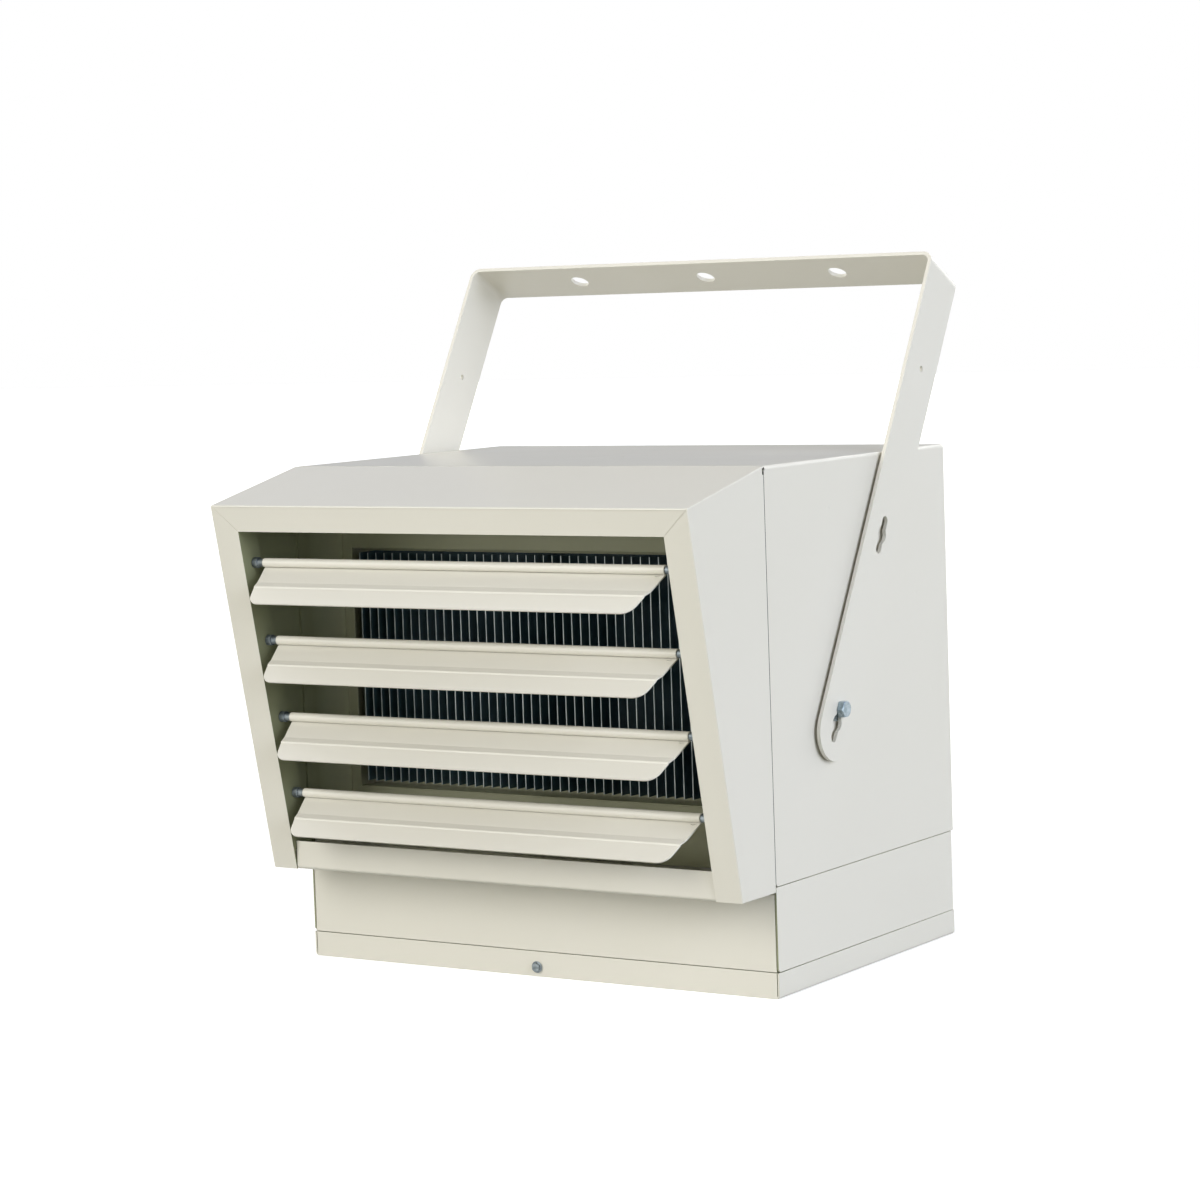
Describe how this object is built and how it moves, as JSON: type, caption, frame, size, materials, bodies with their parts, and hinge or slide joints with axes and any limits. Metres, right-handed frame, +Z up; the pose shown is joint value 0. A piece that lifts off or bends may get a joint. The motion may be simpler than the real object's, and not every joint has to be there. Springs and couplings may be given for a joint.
{
  "type": "ceiling mounted fan heater",
  "caption": "Ceiling mounted fan heater: enamelled steel cabinet, sloped hood with adjustable louvres, finned element, rear fan, hinged wiring door and a tilting U bracket.",
  "frame": {"origin": "centre of the cabinet's flat base", "axes": "+Z up, -Y out of the hood's outlet, +X to the right of someone facing the outlet"},
  "size_m": [0.3874, 0.3611, 0.4663],
  "materials": {
    "enamel": "glossy almond enamel on sheet steel",
    "zinc": "bright bluish zinc plating",
    "steel": "bare mill steel",
    "element": "dark heat-treated steel fins",
    "motor": "dark satin paint",
    "aluminium": "mill-finish pressed sheet",
    "black_plastic": "moulded black",
    "grey_plastic": "moulded grey",
    "rubber": "soft black",
    "red_wire": "insulated wire",
    "black_wire": "insulated wire"
  },
  "bodies": {
    "cabinet": {"cabinet_wrapper": "enamel", "rear_panel": "enamel", "base_housing": "enamel", "base_front_panel": "enamel", "divider_plate": "enamel", "hood_shell": "enamel", "hood_bottom": "enamel", "element_baffle": "enamel", "door_hinge_pin": "zinc", "case_screw_1": "zinc", "case_screw_2": "zinc", "case_screw_3": "zinc", "case_screw_4": "zinc", "guard_screw_1": "zinc", "guard_screw_2": "zinc", "guard_screw_3": "zinc", "guard_screw_4": "zinc", "motor_screw_1": "zinc", "motor_screw_2": "zinc", "bracket_bolt_left": "zinc", "bracket_bolt_right": "zinc", "bracket_washer_left": "zinc", "bracket_washer_right": "zinc", "weld_nut_left": "zinc", "weld_nut_right": "zinc", "fan_guard": "zinc", "ground_lug": "zinc", "louver_pivot_left_1": "zinc", "louver_pivot_left_2": "zinc", "louver_pivot_left_3": "zinc", "louver_pivot_left_4": "zinc", "louver_pivot_right_1": "zinc", "louver_pivot_right_2": "zinc", "louver_pivot_right_3": "zinc", "louver_pivot_right_4": "zinc", "element_bracket_left": "steel", "element_bracket_right": "steel", "motor_stand": "steel", "heating_element": "element", "fan_motor": "motor", "terminal_block": "black_plastic", "contactor": "black_plastic", "fan_delay_relay": "grey_plastic", "thermal_cutout": "grey_plastic", "wiring_grommet": "rubber", "element_wire_left": "red_wire", "element_wire_right": "red_wire", "motor_wire": "black_wire", "supply_wire": "black_wire"},
    "bracket": {"mounting_bracket": "enamel"},
    "fan": {"fan_blade": "aluminium", "motor_shaft": "steel"},
    "door": {"access_door": "enamel", "door_screw": "zinc", "door_screw_nut": "zinc"},
    "louver_1": {"louver_1": "enamel"},
    "louver_2": {"louver_2": "enamel"},
    "louver_3": {"louver_3": "enamel"},
    "louver_4": {"louver_4": "enamel"}
  },
  "joints": [
    {"name": "bracket_tilt", "type": "hinge", "parent": "cabinet", "child": "bracket", "pos_m": [0, -0.0401, 0.1748], "axis": [1, 0, 0], "range_deg": [-60.2, 29.8]},
    {"name": "louver_hinge_1", "type": "hinge", "parent": "cabinet", "child": "louver_1", "pos_m": [0, -0.1922, 0.27721], "axis": [1, 0, 0], "range_deg": [-34, 45]},
    {"name": "louver_hinge_2", "type": "hinge", "parent": "cabinet", "child": "louver_2", "pos_m": [0, -0.18159, 0.22477], "axis": [1, 0, 0], "range_deg": [-34, 45]},
    {"name": "louver_hinge_3", "type": "hinge", "parent": "cabinet", "child": "louver_3", "pos_m": [0, -0.17099, 0.17233], "axis": [1, 0, 0], "range_deg": [-34, 45]},
    {"name": "louver_hinge_4", "type": "hinge", "parent": "cabinet", "child": "louver_4", "pos_m": [0, -0.16039, 0.1199], "axis": [1, 0, 0], "range_deg": [-34, 45]},
    {"name": "fan_spin", "type": "hinge", "parent": "cabinet", "child": "fan", "pos_m": [0, 0.098, 0.201], "axis": [0, 1, 0], "continuous": true},
    {"name": "door_hinge", "type": "hinge", "parent": "cabinet", "child": "door", "pos_m": [0, 0.122, 0.003], "axis": [1, 0, 0], "range_deg": [0, 95]}
  ]
}
